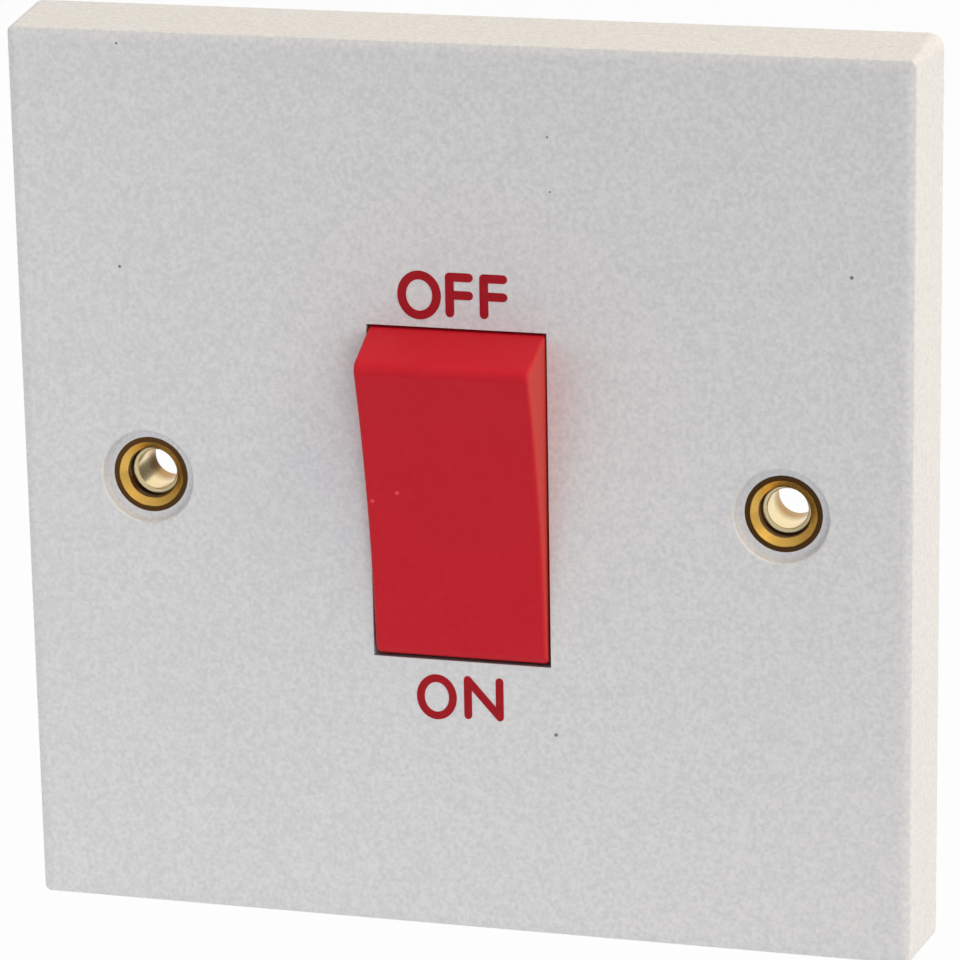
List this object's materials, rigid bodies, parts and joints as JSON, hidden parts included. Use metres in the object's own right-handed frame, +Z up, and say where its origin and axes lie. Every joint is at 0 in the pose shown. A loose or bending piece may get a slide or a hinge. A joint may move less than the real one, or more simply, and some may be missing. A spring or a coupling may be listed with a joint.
{
  "type": "double pole switch",
  "caption": "Flush-mounted square wall plate with a red rocker that opens and closes both poles of a cooker circuit, with tunnel terminals behind.",
  "frame": {"origin": "middle of the plate, in the plane of its rear rim, where the wall is", "axes": "+X to the right and +Z up as seen from the front, +Y into the wall"},
  "size_m": [0.086, 0.0332, 0.086],
  "materials": {
    "plate_plastic": "white urea moulding, fine-textured face",
    "rocker_plastic": "red moulding, smooth",
    "bush_brass": "turned",
    "base_plastic": "dark phenolic moulding",
    "terminal_brass": "drawn bar, drilled",
    "screw_brass": "turned, slotted",
    "screw_steel": "zinc plated",
    "strap_copper": "rolled copper strip",
    "contact_silver": "silver rivet",
    "spring_steel": "drawn wire",
    "plunger_plastic": "natural nylon"
  },
  "bodies": {
    "plate": {"front_plate": "plate_plastic", "left_fixing_bush": "bush_brass", "right_fixing_bush": "bush_brass", "switch_base": "base_plastic", "terminal_screws": "screw_brass", "base_screws": "screw_steel", "earth_terminal": "terminal_brass", "earth_screw": "screw_brass", "neutral_fixed_tip": "contact_silver", "neutral_load_strap": "strap_copper", "neutral_supply_strap": "strap_copper", "neutral_load_terminal": "terminal_brass", "neutral_supply_terminal": "terminal_brass", "line_fixed_tip": "contact_silver", "line_load_strap": "strap_copper", "line_supply_strap": "strap_copper", "line_load_terminal": "terminal_brass", "line_supply_terminal": "terminal_brass"},
    "rocker": {"rocker": "rocker_plastic", "neutral_plunger_spring": "spring_steel", "line_plunger_spring": "spring_steel"},
    "neutral_plunger": {"neutral_plunger": "plunger_plastic"},
    "neutral_contact": {"neutral_moving_contact": "strap_copper", "neutral_moving_tip": "contact_silver"},
    "line_plunger": {"line_plunger": "plunger_plastic"},
    "line_contact": {"line_moving_contact": "strap_copper", "line_moving_tip": "contact_silver"}
  },
  "joints": [
    {"name": "rocker_tilt", "type": "hinge", "parent": "plate", "child": "rocker", "pos_m": [0, -0.0054, 0], "axis": [1, 0, 0], "range_deg": [-20.8, 0]},
    {"name": "neutral_contact_tilt", "type": "hinge", "parent": "plate", "child": "neutral_contact", "pos_m": [0.00477, 0.00855, 0], "axis": [1, 0, 0], "range_deg": [0, 14]},
    {"name": "neutral_plunger_slide", "type": "slide", "parent": "rocker", "child": "neutral_plunger", "axis": [0, -0.9836, -0.1805], "range_m": [-0.00036, 0.0006], "stiffness_N_per_m": 600, "springref_m": -0.004, "deforming": ["neutral_plunger_spring"]},
    {"name": "line_contact_tilt", "type": "hinge", "parent": "plate", "child": "line_contact", "pos_m": [-0.00477, 0.00855, 0], "axis": [1, 0, 0], "range_deg": [0, 14]},
    {"name": "line_plunger_slide", "type": "slide", "parent": "rocker", "child": "line_plunger", "axis": [0, -0.9836, -0.1805], "range_m": [-0.00036, 0.0006], "stiffness_N_per_m": 600, "springref_m": -0.004, "deforming": ["line_plunger_spring"]}
  ],
  "couplings": [
    {"joint": "neutral_contact_tilt", "follows": "rocker_tilt", "ratio": -0.67308},
    {"joint": "line_contact_tilt", "follows": "rocker_tilt", "ratio": -0.67308}
  ]
}
